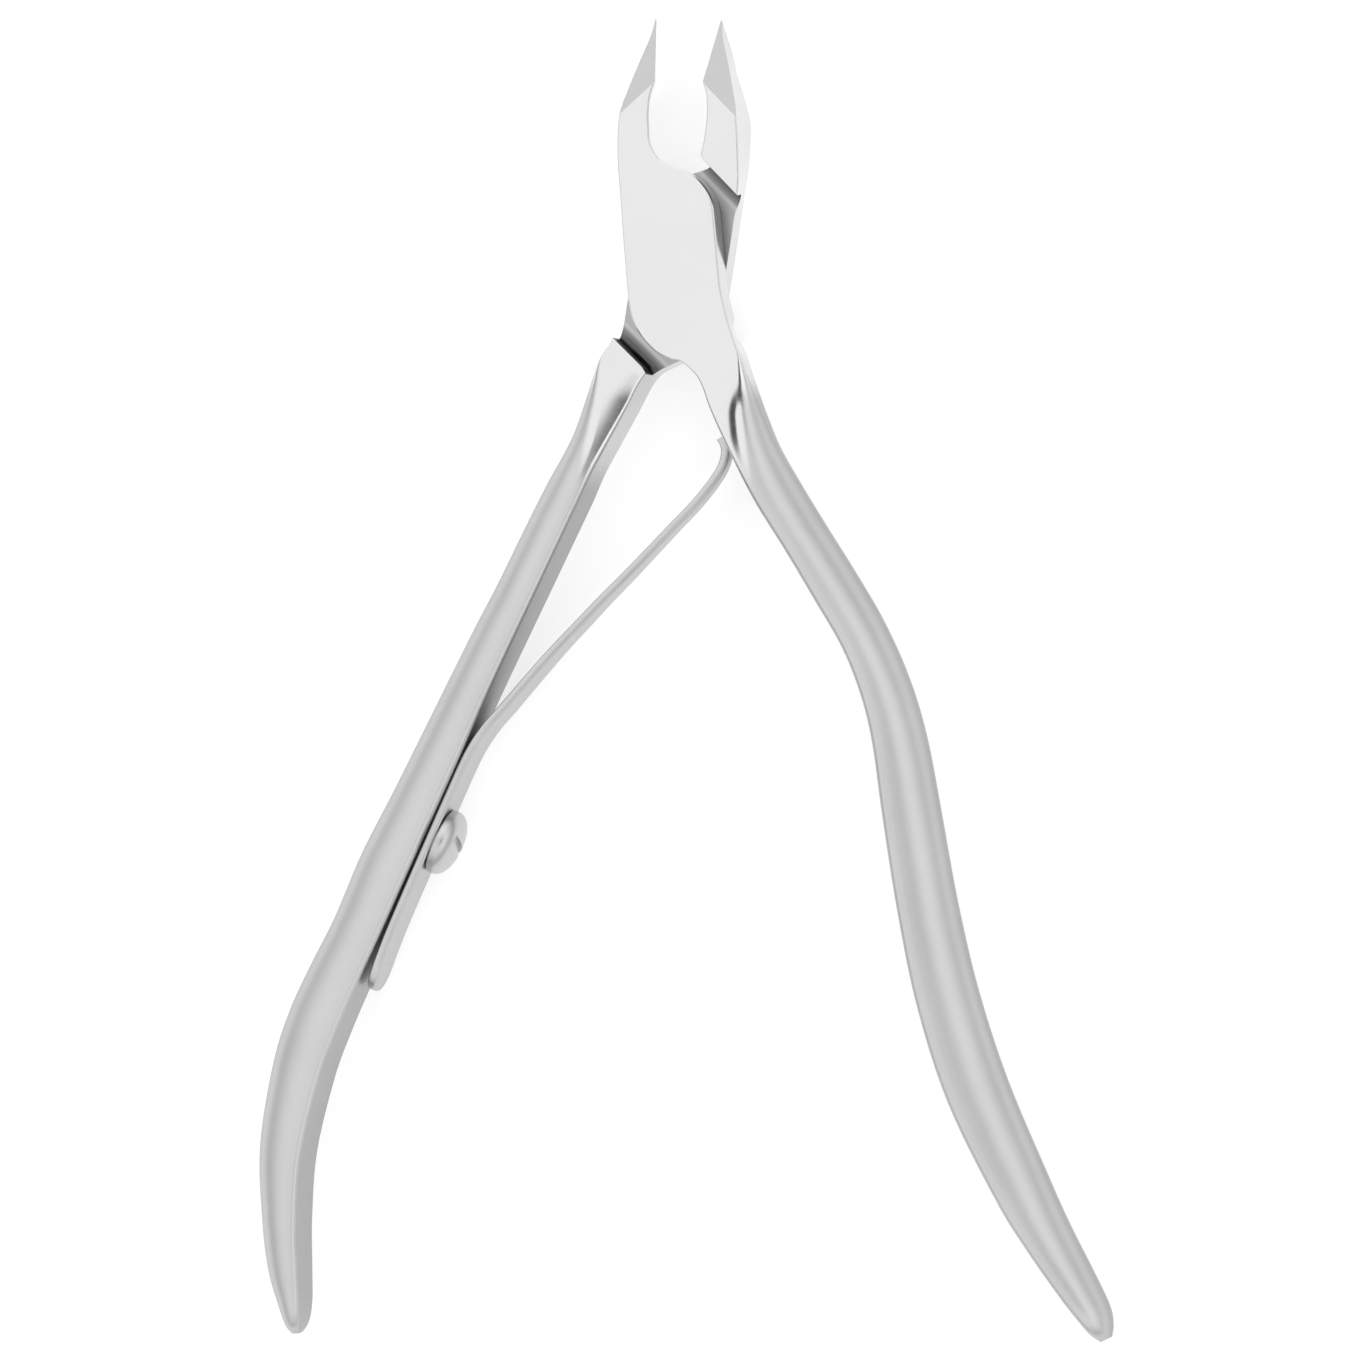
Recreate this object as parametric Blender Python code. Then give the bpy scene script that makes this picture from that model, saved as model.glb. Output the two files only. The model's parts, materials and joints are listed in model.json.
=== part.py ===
"""Cuticle nipper with a lap joint: two forged halves, a rivet, a leaf spring and its screw.

The tool lies flat. X and Y are in its plane with the jaws towards +Y, and Z = 0 is the
face it lies on. The origin is on the rivet's axis. Lengths below are in millimetres.
"""

import math

import bmesh
import bpy
from mathutils import Matrix, Vector

MM = 0.001
HALF_THICK = 3.15
OPEN_DEG = 15.0
LAP_GAP = 0.05
EDGE_X = -0.04
HEEL_Y = 15.02
TIP_Y = 20.5
RELIEF = 0.222
FACET_SLOPE = 0.705
FACET_LINE = (-0.806, -0.591)
CORNER = 0.12
GRIP_CORNER = 0.4
PIN_RADIUS = 1.5
PIN_HOLE_RADIUS = 1.55
PIN_HEAD_RADIUS = 2.4
PIN_HEAD_DEPTH = 0.9
SPRING_THICK = 0.7
SCREW_RADIUS = 1.2
SCREW_HOLE_RADIUS = 1.26
SCREW_HOLE_DEPTH = 2.9
SCREW_SHANK = 2.6
SCREW_HEAD_RADIUS = 2.8
SCREW_HEAD_HIGH = 1.9
SLOT_WIDE = 0.8
SLOT_DEEP = 0.6
SCREW_SPOT = (12.43, -50.60)
GRIP_OUTWARD = (-0.968, -0.251)
ARC_STEPS = 4
STATION_STEPS = 2

# Each half is described in its own frame, with the jaw on the left and the grip on the right.
# A station is (left x, left y, right x, right y, bulge, tuck, roundness, thickness share).
# Bulge widens the left wall on the face away from the half's own plate. Tuck narrows the right
# wall on the face away from the cutting edge.
# Roundness runs from 0, a square section, to 1, a D with its flat side on the left.
JAW = [
    (-0.16, 20.50, -0.04, 20.50, 0.00, 1.40, 0, 1),
    (-0.42, 19.40, -0.04, 19.50, 0.00, 1.40, 0, 1),
    (-0.72, 18.60, -0.04, 18.70, 0.00, 1.40, 0, 1),
    (-1.20, 17.60, -0.04, 17.75, 0.00, 1.40, 0, 1),
    (-1.82, 16.35, -0.04, 16.60, 0.00, 1.40, 0, 1),
    (-2.38, 15.10, -0.04, 15.40, 0.00, 1.40, 0, 1),
    (-2.52, 14.75, -0.04, 15.02, 0.00, 1.40, 0, 1),
    (-2.95, 13.75, -0.48, 14.10, 0.00, 1.40, 0, 1),
    (-3.37, 12.50, -0.80, 12.60, 0.00, 1.40, 0, 1),
    (-3.60, 11.20, -0.90, 11.20, 0.10, 1.40, 0, 1),
    (-3.76, 9.70, -0.90, 9.95, 0.25, 1.40, 0, 1),
]
FRONT_PLATE = [
    (-3.83, 8.40, -0.42, 8.80, 0.45, 1.20, 0, 1),
    (-3.85, 7.40, 0.30, 8.15, 0.60, 0.60, 0, 1),
    (-3.86, 6.30, 1.60, 7.50, 0.65, 0.20, 0, 1),
    (-3.88, 5.60, 2.48, 6.90, 0.40, 0.00, 0, 1),
    (-3.88, 5.00, 3.10, 6.15, 0.10, 0.00, 0, 1),
    (-3.90, 4.20, 3.60, 5.25, 0.00, 0.00, 0, 1),
    (-3.92, 3.60, 3.83, 4.40, 0.00, 0.00, 0, 1),
    (-3.94, 2.60, 3.87, 3.40, 0.00, 0.00, 0, 1),
    (-3.96, 0.80, 3.88, 1.00, 0.00, 0.00, 0, 1),
    (-3.98, -1.60, 3.87, -1.80, 0.00, 0.00, 0, 1),
    (-3.98, -2.60, 3.93, -2.90, 0.00, 0.00, 0, 1),
    (-3.86, -3.90, 4.05, -3.90, 0.00, 0.00, 0, 1),
    (-3.60, -4.85, 4.18, -4.80, 0.00, 0.00, 0, 1),
    (-3.10, -5.90, 4.32, -5.60, 0.00, 0.50, 0, 1),
    (-2.55, -6.65, 4.45, -6.20, 0.00, 0.70, 0, 1),
    (-2.00, -7.25, 4.57, -6.75, 0.00, 0.65, 0, 1),
    (-1.40, -7.65, 4.68, -7.20, 0.00, 0.57, 0, 1),
    (-0.80, -7.97, 4.78, -7.60, 0.00, 0.50, 0, 1),
    (-0.24, -8.11, 4.88, -7.95, 0.00, 0.49, 0, 1),
    (0.15, -8.40, 4.98, -8.35, 0.00, 0.49, 0.02, 1),
    (0.62, -8.87, 5.10, -8.85, 0.00, 0.48, 0.06, 1),
    (1.22, -9.67, 5.28, -9.55, 0.00, 0.47, 0.14, 1),
    (1.60, -10.70, 5.50, -10.40, 0.00, 0.45, 0.24, 1),
]
FRONT_GRIP = [
    (1.90, -12.00, 5.75, -11.50, 0, 0.38, 0.38, 1),
    (2.53, -14.00, 6.20, -13.20, 0, 0.30, 0.58, 1),
    (3.68, -17.10, 7.10, -16.00, 0, 0.20, 0.82, 1),
    (5.13, -20.60, 8.55, -19.30, 0, 0, 0.97, 1),
    (7.27, -24.80, 10.45, -23.10, 0, 0, 1, 1),
    (9.24, -28.90, 12.55, -27.20, 0, 0, 1, 1),
    (11.20, -33.10, 14.50, -31.40, 0, 0, 1, 1),
    (12.40, -37.20, 16.10, -36.10, 0, 0, 1, 1),
    (12.98, -41.20, 17.10, -41.00, 0, 0, 1, 1),
    (13.26, -47.20, 17.70, -47.00, 0, 0, 1, 1),
    (13.78, -55.10, 18.40, -54.70, 0, 0, 1, 1),
    (14.70, -63.10, 19.45, -62.10, 0, 0, 1, 1),
    (16.55, -71.20, 21.20, -69.70, 0, 0, 1, 1),
    (19.70, -79.30, 23.75, -77.60, 0, 0, 1, 0.98),
    (21.75, -83.40, 25.20, -81.80, 0, 0, 1, 0.96),
    (24.10, -87.50, 27.00, -86.30, 0, 0, 1, 0.90),
    (25.40, -89.60, 27.95, -88.90, 0, 0, 1, 0.80),
    (26.30, -91.00, 28.10, -90.40, 0, 0, 1, 0.60),
    (27.00, -91.75, 27.90, -91.40, 0, 0, 1, 0.25),
]
BACK_PLATE = [
    (-3.83, 8.40, -0.70, 8.50, 0.45, 1.20, 0, 1),
    (-3.85, 7.40, 0.00, 7.80, 0.60, 0.60, 0, 1),
    (-3.86, 6.30, 1.30, 7.15, 0.65, 0.20, 0, 1),
    (-3.88, 5.60, 2.35, 6.60, 0.40, 0.00, 0, 1),
    (-3.88, 5.00, 3.00, 6.00, 0.10, 0.00, 0, 1),
    (-3.90, 4.20, 3.55, 5.20, 0.00, 0.00, 0, 1),
    (-3.92, 3.60, 3.83, 4.30, 0.00, 0.00, 0, 1),
    (-3.94, 2.60, 3.87, 3.20, 0.00, 0.00, 0, 1),
    (-3.96, 0.80, 3.88, 0.90, 0.00, 0.00, 0, 1),
    (-3.98, -1.60, 3.87, -1.80, 0.00, 0.00, 0, 1),
    (-3.98, -2.60, 3.86, -2.90, 0.00, 0.00, 0, 1),
    (-3.86, -3.90, 3.85, -4.20, 0.00, 0.00, 0, 1),
    (-3.60, -4.85, 3.83, -5.30, 0.00, 0.00, 0, 1),
    (-3.10, -5.90, 3.85, -6.10, 0.00, 0.00, 0, 1),
    (-2.55, -6.70, 3.92, -6.70, 0.00, 0.00, 0, 1),
    (-1.95, -7.40, 3.95, -7.15, 0.00, 0.00, 0, 1),
    (-1.30, -7.95, 4.14, -7.60, 0.00, 0.00, 0, 1),
    (-0.75, -8.30, 4.38, -8.05, 0.00, 0.00, 0, 1),
    (-0.10, -8.75, 4.56, -8.50, 0.00, 0.00, 0, 1),
    (0.40, -9.15, 4.73, -8.90, 0.00, 0.00, 0.02, 1),
    (0.75, -9.60, 4.88, -9.35, 0.00, 0.00, 0.08, 1),
    (1.05, -10.20, 5.03, -9.90, 0.00, 0.00, 0.16, 1),
    (1.35, -11.00, 5.18, -10.50, 0.00, 0.00, 0.26, 1),
]
BACK_GRIP = [
    (1.75, -12.30, 5.38, -11.40, 0, 0, 0.38, 1),
    (2.30, -13.90, 5.68, -12.80, 0, 0, 0.55, 1),
    (3.15, -16.30, 6.27, -15.30, 0, 0, 0.78, 1),
    (3.90, -18.50, 7.08, -17.60, 0, 0, 0.92, 1),
    (4.55, -20.90, 7.93, -19.80, 0, 0, 1, 1),
    (5.80, -25.20, 9.33, -24.20, 0, 0, 1, 1),
    (7.05, -29.50, 10.63, -28.50, 0, 0, 1, 1),
    (8.30, -33.75, 12.03, -32.70, 0, 0, 1, 1),
    (9.55, -38.10, 13.38, -37.00, 0, 0, 1, 1),
    (11.00, -43.50, 15.03, -42.30, 0, 0, 1, 1),
    (12.40, -48.70, 16.63, -47.40, 0, 0, 1, 1),
    (13.90, -54.30, 18.43, -52.90, 0, 0, 1, 1),
    (15.35, -59.80, 19.83, -58.60, 0, 0, 1, 1),
    (16.50, -64.00, 21.20, -62.90, 0, 0, 1, 1),
    (17.50, -68.00, 22.35, -67.00, 0, 0, 1, 1),
    (18.30, -72.20, 23.00, -71.60, 0, 0, 1, 1),
    (18.75, -78.60, 22.95, -78.70, 0, 0, 1, 0.98),
    (18.20, -84.30, 21.63, -85.00, 0, 0, 1, 0.96),
    (17.50, -88.00, 20.43, -88.90, 0, 0, 1, 0.90),
    (16.90, -91.00, 19.03, -91.70, 0, 0, 1, 0.80),
    (16.75, -92.70, 18.23, -93.10, 0, 0, 1, 0.60),
    (16.95, -93.55, 17.63, -93.70, 0, 0, 1, 0.25),
]
# The pocket that the other half's plate lies in, between the jaw's and the grip's shoulder.
POCKET = [
    (-6.00, 5.19),
    (-1.84, 8.24),
    (-1.30, 8.62),
    (-0.60, 9.40),
    (4.50, 9.40),
    (7.00, 6.00),
    (7.00, -4.80),
    (3.57, -7.19),
    (1.04, -8.96),
    (0.70, -9.41),
    (0.45, -10.20),
    (-1.00, -11.50),
    (-6.00, -9.00),
]

# Centre line of the leaf spring in the back half's frame, with its width at each point.
LEAF = [
    (15.55, -64.00, 3.6),
    (15.45, -63.40, 4.8),
    (14.90, -60.60, 4.8),
    (14.32, -58.00, 4.8),
    (12.90, -52.40, 4.8),
    (11.40, -46.60, 4.8),
    (10.42, -43.10, 4.8),
    (9.35, -40.70, 4.8),
    (8.00, -38.55, 4.6),
    (6.20, -35.60, 4.3),
    (4.65, -33.15, 4.0),
    (3.09, -30.86, 3.7),
    (1.53, -28.57, 3.4),
    (-0.11, -26.27, 3.1),
    (-1.68, -23.99, 2.8),
    (-3.23, -21.71, 2.6),
    (-4.80, -19.43, 2.4),
    (-5.90, -17.50, 2.2),
    (-6.48, -16.10, 2.0),
    (-6.62, -15.00, 1.9),
    (-6.42, -14.20, 1.8),
    (-5.98, -13.65, 1.7),
]


def clear_scene():
    for obj in list(bpy.data.objects):
        bpy.data.objects.remove(obj, do_unlink=True)


def named_collection(name, helper):
    made = bpy.data.collections.new(name)
    bpy.context.scene.collection.children.link(made)
    made.hide_render = helper
    return made


def steel(name, colour, roughness):
    made = bpy.data.materials.new(name)
    made.use_nodes = True
    shader = made.node_tree.nodes["Principled BSDF"]
    shader.inputs["Base Color"].default_value = (*colour, 1.0)
    shader.inputs["Metallic"].default_value = 1.0
    shader.inputs["Roughness"].default_value = roughness
    made.diffuse_color = (*colour, 1.0)
    return made


def mesh_object(name, points, faces, collection):
    """A mesh object from points in millimetres. Its scale, set by place, makes them metres."""
    mesh = bpy.data.meshes.new(name)
    mesh.from_pydata([Vector(p) for p in points], [], faces)
    made = bmesh.new()
    made.from_mesh(mesh)
    bmesh.ops.triangulate(made, faces=made.faces)
    bmesh.ops.recalc_face_normals(made, faces=made.faces)
    made.to_mesh(mesh)
    made.free()
    obj = bpy.data.objects.new(name, mesh)
    collection.objects.link(obj)
    return obj


def spline(rows, steps):
    """Catmull-Rom rows between the given ones, which stay in the result."""
    found = []
    for i in range(len(rows) - 1):
        before = rows[max(i - 1, 0)]
        start = rows[i]
        end = rows[i + 1]
        after = rows[min(i + 2, len(rows) - 1)]
        for step in range(steps):
            t = step / steps
            row = []
            for a, b, c, d in zip(before, start, end, after):
                bend = 2 * b + (c - a) * t
                bend += (2 * a - 5 * b + 4 * c - d) * t * t
                bend += (3 * b - a - 3 * c + d) * t * t * t
                row.append(bend / 2)
            found.append(row)
    found.append(list(rows[-1]))
    return found


def edge_height(y):
    """Height above mid-plane of the cutting edge, which the facet lowers towards the tip."""
    return HALF_THICK - FACET_SLOPE * -FACET_LINE[0] * max(y - HEEL_Y, 0.0)


def blade_shift(y, z, side):
    """How far the blade's hollow side leans away from the cutting edge at this height."""
    return RELIEF * (side * z - edge_height(y))


def left_x(row, z, side):
    near_tip = min(max((row[1] - 16.5) / 3.0, 0.0), 1.0)
    bulge = row[4] * (HALF_THICK - z) / (2 * HALF_THICK)
    return row[0] - bulge + near_tip * blade_shift(row[1], z, side)


def right_x(row, z, side):
    if row[3] > HEEL_Y:
        return row[2] + blade_shift(row[3], z, side)
    return row[2] - row[5] * (HALF_THICK - side * z) / (2 * HALF_THICK)


def corner_arc(width, height):
    """(distance from the wall, height above the corner's foot) round one corner."""
    turns = [math.pi / 2 * i / ARC_STEPS for i in range(ARC_STEPS + 1)]
    return [(width * (1 - math.cos(a)), height * math.sin(a)) for a in turns]


def ring(row, side):
    """One closed section of a half."""
    across = Vector((row[2] - row[0], row[3] - row[1]))
    width = across.length
    across.normalize()
    half = HALF_THICK * min(row[7], 1.0)
    round_share = min(max(row[6], 0.0), 1.0)
    left = min(CORNER + (GRIP_CORNER - CORNER) * round_share, 0.3 * width, 0.5 * half)
    tall = min(CORNER + (0.96 * half - CORNER) * round_share, 0.96 * half)
    wide = CORNER + (0.84 * width - CORNER) * round_share
    wide = min(wide, 0.9 * width - left)
    points = []
    for away, up in corner_arc(left, left):
        z = half - left + up
        points.append((left_x(row, z, side) + across.x * away, row[1] + across.y * away, z))
    for away, up in reversed(corner_arc(wide, tall)):
        z = half - tall + up
        points.append((right_x(row, z, side) - across.x * away, row[3] - across.y * away, z))
    for away, up in corner_arc(wide, tall):
        z = tall - half - up
        points.append((right_x(row, z, side) - across.x * away, row[3] - across.y * away, z))
    for away, up in reversed(corner_arc(left, left)):
        z = left - half - up
        points.append((left_x(row, z, side) + across.x * away, row[1] + across.y * away, z))
    return points


def loft(name, rings, collection):
    """A closed mesh through rings of equal length, capped at both ends."""
    count = len(rings[0])
    points = [p for found in rings for p in found]
    faces = [list(range(count))]
    for i in range(len(rings) - 1):
        for j in range(count):
            k = (j + 1) % count
            a = i * count
            faces.append((a + j, a + k, a + count + k, a + count + j))
    last = (len(rings) - 1) * count
    faces.append(list(range(last + count - 1, last - 1, -1)))
    return mesh_object(name, points, faces, collection)


def prism(name, outline, low, high, collection):
    """An upright prism on an outline in X and Y."""
    count = len(outline)
    points = [(x, y, low) for x, y in outline] + [(x, y, high) for x, y in outline]
    faces = [list(range(count)), list(range(count, 2 * count))]
    for j in range(count):
        k = (j + 1) % count
        faces.append((j, k, count + k, count + j))
    return mesh_object(name, points, faces, collection)


def turned(name, profile, steps, collection):
    """A solid of revolution about Z. The profile is (radius, height), from axis to axis."""
    points = []
    for radius, height in profile:
        for i in range(steps):
            a = 2 * math.pi * i / steps
            points.append((radius * math.cos(a), radius * math.sin(a), height))
    faces = [list(range(steps))]
    for i in range(len(profile) - 1):
        for j in range(steps):
            k = (j + 1) % steps
            faces.append((i * steps + j, i * steps + k, (i + 1) * steps + k, (i + 1) * steps + j))
    last = (len(profile) - 1) * steps
    faces.append(list(range(last, last + steps)))
    return mesh_object(name, points, faces, collection)


def facet_cutter(name, side, cutters):
    """The wedge that grinds a jaw's face down from the facet line to the tip."""
    along = Vector((*FACET_LINE, 0.0))
    down = Vector((FACET_LINE[1], -FACET_LINE[0], 0.0))
    heel = Vector((EDGE_X, HEEL_Y, 0.0))
    rise = FACET_SLOPE
    section = [(-1.0, HALF_THICK + rise), (8.0, HALF_THICK - 8.0 * rise), (8.0, 7.0), (-1.0, 7.0)]
    points = []
    for reach in (-9.0, 9.0):
        for away, z in section:
            spot = heel + along * reach + down * away
            points.append((spot.x, spot.y, side * z))
    faces = [(0, 1, 2, 3), (7, 6, 5, 4)]
    faces += [(j, (j + 1) % 4, (j + 1) % 4 + 4, j + 4) for j in range(4)]
    return mesh_object(name, points, faces, cutters)


def cut(obj, cutter):
    step = obj.modifiers.new(cutter.name, "BOOLEAN")
    step.operation = "DIFFERENCE"
    step.solver = "EXACT"
    step.object = cutter
    cutter.display_type = "WIRE"
    cutter.hide_render = True


def place(obj, matrix):
    """Puts an object, drawn in millimetres in its own frame, where it lies at rest."""
    obj.matrix_world = matrix @ Matrix.Scale(MM, 4)


def half_pose(front):
    lift = Matrix.Translation((0.0, 0.0, HALF_THICK * MM))
    if front:
        return lift @ Matrix.Rotation(math.radians(OPEN_DEG / 2), 4, "Z")
    turn = Matrix.Rotation(math.radians(-OPEN_DEG / 2), 4, "Z")
    return lift @ turn @ Matrix.Rotation(math.pi, 4, "Y")


def make_half(name, stations, side, parts, cutters):
    rings = [ring(row, side) for row in spline(stations, STATION_STEPS)]
    half = loft(name, rings, parts)
    pocket = prism(name + "_pocket", POCKET, -4.0, LAP_GAP, cutters)
    upper = facet_cutter(name + "_upper_facet", 1, cutters)
    lower = facet_cutter(name + "_lower_facet", -1, cutters)
    for tool in (upper, lower, pocket):
        cut(half, tool)
    return half


def pin_profile(radius, head_radius, extra):
    """Rivet shape about its axis, from the flush head at the bottom to the top."""
    return [
        (head_radius, -HALF_THICK - extra),
        (head_radius, PIN_HEAD_DEPTH / 3 - HALF_THICK),
        (radius, PIN_HEAD_DEPTH - HALF_THICK),
        (radius, HALF_THICK + extra),
    ]


def make_leaf(parts):
    """The leaf spring: a strip that lies on the back grip and crosses to the front one."""
    path = spline(LEAF, 2)
    rings = []
    for i, (x, y, width) in enumerate(path):
        before = path[max(i - 1, 0)]
        after = path[min(i + 1, len(path) - 1)]
        along = Vector((after[0] - before[0], after[1] - before[1])).normalized()
        side = Vector((-along.y, along.x)) * SPRING_THICK / 2
        half = width / 2
        rings.append(
            [
                (x - side.x, y - side.y, -half),
                (x + side.x, y + side.y, -half),
                (x + side.x, y + side.y, half),
                (x - side.x, y - side.y, half),
            ]
        )
    return loft("leaf_spring", rings, parts)


def screw_matrix():
    """Frame on the spring's outer face with Z along the screw, away from the grip."""
    out = Vector((*GRIP_OUTWARD, 0.0)).normalized()
    up = Vector((0.0, 0.0, 1.0))
    across = up.cross(out)
    spot = Vector((*SCREW_SPOT, 0.0)) + out * SPRING_THICK / 2
    turn = Matrix((across, up, out)).transposed().to_4x4()
    return Matrix.Translation(spot * MM) @ turn


def screw_profile():
    """Pan head and shank, from the shank's end to the top of the head."""
    high = SCREW_HEAD_HIGH
    radius = SCREW_HEAD_RADIUS
    return [
        (SCREW_RADIUS - 0.25, -SPRING_THICK - SCREW_SHANK),
        (SCREW_RADIUS, -SPRING_THICK - SCREW_SHANK + 0.25),
        (SCREW_RADIUS, 0.03),
        (radius - 0.15, 0.03),
        (radius, 0.20),
        (radius, 0.45 * high),
        (0.93 * radius, 0.70 * high),
        (0.78 * radius, 0.88 * high),
        (0.55 * radius, high),
    ]


def make_screw(parts, cutters, pose):
    screw = turned("spring_screw", screw_profile(), 40, parts)
    wide = SLOT_WIDE / 2
    reach = SCREW_HEAD_RADIUS + 1.0
    outline = [(-wide, -reach), (wide, -reach), (wide, reach), (-wide, reach)]
    low = SCREW_HEAD_HIGH - SLOT_DEEP
    slot = prism("spring_screw_slot", outline, low, SCREW_HEAD_HIGH + 1.0, cutters)
    cut(screw, slot)
    for obj in (screw, slot):
        place(obj, pose @ screw_matrix())
    return screw


def main():
    clear_scene()
    parts = named_collection("cuticle_nipper", False)
    cutters = named_collection("cutters", True)
    satin = steel("satin_steel", (0.60, 0.60, 0.60), 0.34)
    polished = steel("spring_steel", (0.62, 0.62, 0.63), 0.24)
    fastener = steel("fastener_steel", (0.66, 0.66, 0.66), 0.22)
    front_pose = half_pose(True)
    back_pose = half_pose(False)

    front = make_half("front_half", JAW + FRONT_PLATE + FRONT_GRIP, 1, parts, cutters)
    back = make_half("back_half", JAW + BACK_PLATE + BACK_GRIP, -1, parts, cutters)
    for obj in bpy.data.objects:
        place(obj, front_pose if obj.name.startswith("front") else back_pose)

    hole = turned("pin_hole", [(PIN_HOLE_RADIUS, -5.0), (PIN_HOLE_RADIUS, 5.0)], 48, cutters)
    sink_shape = pin_profile(PIN_HOLE_RADIUS, PIN_HEAD_RADIUS + 0.05, 1.0)
    sink = turned("pin_sink", sink_shape, 48, cutters)
    rivet_shape = pin_profile(PIN_RADIUS, PIN_HEAD_RADIUS, 0.0)
    rivet = turned("pivot_rivet", rivet_shape, 48, parts)
    lift = Matrix.Translation((0.0, 0.0, HALF_THICK * MM))
    for obj in (hole, sink, rivet):
        place(obj, lift)
    cut(front, hole)
    cut(back, sink)

    leaf = make_leaf(parts)
    place(leaf, back_pose)
    screw = make_screw(parts, cutters, back_pose)
    bore_depth = -SPRING_THICK - SCREW_HOLE_DEPTH
    bore = turned("screw_bore", [(SCREW_HOLE_RADIUS, bore_depth), (SCREW_HOLE_RADIUS, 2.0)], 40, cutters)
    place(bore, back_pose @ screw_matrix())
    cut(back, bore)
    cut(leaf, bore)

    for obj in (front, back):
        obj.data.materials.append(satin)
    leaf.data.materials.append(polished)
    for obj in (rivet, screw):
        obj.data.materials.append(fastener)
    for obj in (front, back, leaf, rivet, screw):
        with bpy.context.temp_override(object=obj, selected_editable_objects=[obj]):
            obj.data.shade_smooth()
            obj.data.set_sharp_from_angle(angle=math.radians(35))


main()
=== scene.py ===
"""Looks of the cuticle nipper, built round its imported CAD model.

Shapes are drawn in millimetres in the frame of the half that they belong to, then turned
into metres where that half lies at rest. Each vertex keeps its own frame's position in the
attribute "own", which the materials read, so a finish stays with its piece when it moves.
"""

import json
import math

import bmesh
import bpy
from mathutils import Matrix, Vector

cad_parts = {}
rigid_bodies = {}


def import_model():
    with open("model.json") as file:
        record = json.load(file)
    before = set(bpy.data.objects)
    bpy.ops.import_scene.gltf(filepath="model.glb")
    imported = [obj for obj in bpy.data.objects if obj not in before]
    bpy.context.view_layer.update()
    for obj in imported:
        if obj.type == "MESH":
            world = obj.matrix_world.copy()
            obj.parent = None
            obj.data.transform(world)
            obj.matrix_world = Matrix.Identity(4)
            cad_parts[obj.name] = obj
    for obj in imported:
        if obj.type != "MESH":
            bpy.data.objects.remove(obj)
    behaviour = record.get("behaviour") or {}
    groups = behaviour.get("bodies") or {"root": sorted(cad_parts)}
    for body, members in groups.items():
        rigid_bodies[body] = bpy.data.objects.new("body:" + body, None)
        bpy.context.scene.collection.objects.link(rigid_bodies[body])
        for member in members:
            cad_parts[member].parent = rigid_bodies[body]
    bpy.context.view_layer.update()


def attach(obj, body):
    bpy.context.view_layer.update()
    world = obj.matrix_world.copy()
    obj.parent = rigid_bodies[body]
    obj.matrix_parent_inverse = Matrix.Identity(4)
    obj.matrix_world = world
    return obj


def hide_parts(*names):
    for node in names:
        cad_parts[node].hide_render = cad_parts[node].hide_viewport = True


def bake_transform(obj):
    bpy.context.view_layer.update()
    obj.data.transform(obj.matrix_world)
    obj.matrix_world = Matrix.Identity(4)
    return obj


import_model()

MM = 0.001
HALF_THICK = 3.15
OPEN_DEG = 15.0
LAP_GAP = 0.05
EDGE_X = -0.04
HEEL_Y = 15.02
RELIEF = 0.222
FACET_SLOPE = 0.705
FACET_LINE = (-0.806, -0.591)
CORNER = 0.14
GRIP_CORNER = 0.45
POCKET_FILLET = 0.42
FLAT_STEPS = 12
ROLL_REACH = 2.6
ROLL_SLOPE = 0.215
GROOVE_X = 4.25
GROOVE_WIDE = 0.52
GROOVE_DEPTH = 0.105
PIN_RADIUS = 1.5
PIN_HEAD_RADIUS = 2.4
PIN_HEAD_DEPTH = 0.9
PIN_PLAY = 0.03
SPRING_THICK = 0.7
SCREW_RADIUS = 1.2
SCREW_HOLE_DEPTH = 2.9
SCREW_SHANK = 2.6
SCREW_HEAD_RADIUS = 2.8
SCREW_HEAD_HIGH = 1.9
SLOT_WIDE = 0.65
SLOT_DEEP = 0.38
SLOT_TURN = -24.0
DOME_START = 0.30
SCREW_SPOT = (12.43, -50.60)
GRIP_OUTWARD = (-0.968, -0.251)
ARC_STEPS = 10
STATION_STEPS = 6
JAW_SHOULDER = (-1.84, 8.24)
GRIP_SHOULDER = (3.57, -7.19)
TENT_LOW = 0.42
TENT_HIGH = 1.12
TENT_OPENING = (0.2, 0.0, 0.98)
TOP_LAMP = (-0.25, 0.80, 0.30)
TOP_LAMP_LEVEL = 0.45
SIDE_LAMP = (0.78, -0.10, 0.62)
SIDE_LAMP_LEVEL = 0.26
# Painted shade: how much a half's walls are darkened, on the grip and near the head.
GRIP_WALL_SHADE = 0.66
HEAD_WALL_SHADE = 0.92
CAMERA_TILT = 11.5
CAMERA_ROLL = 2.2
CAMERA_DISTANCE = 0.6
LOOK_AT = (0.253, -34.13, 6.3)
LENS = 193.6
HEAD_TONE = 0.730
GRIP_TONE = 0.595
HEAD_ROUGHNESS = 0.13
GRIP_ROUGHNESS = 0.42
GROUND_TONE = 0.66
LAP_TONE = 0.44
# Painted shade: how much the lap's walls are darkened.
LAP_WALL_SHADE = 0.35
SPRING_TONE = 0.56
# Painted shade: how much the spring's edges are darkened.
SPRING_EDGE_SHADE = 0.85
FASTENER_TONE = 0.56
FLOOR_TONE = 0.40
FLOOR_GLOW = 0.72
OPENING_DEPTH = 0.95

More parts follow.
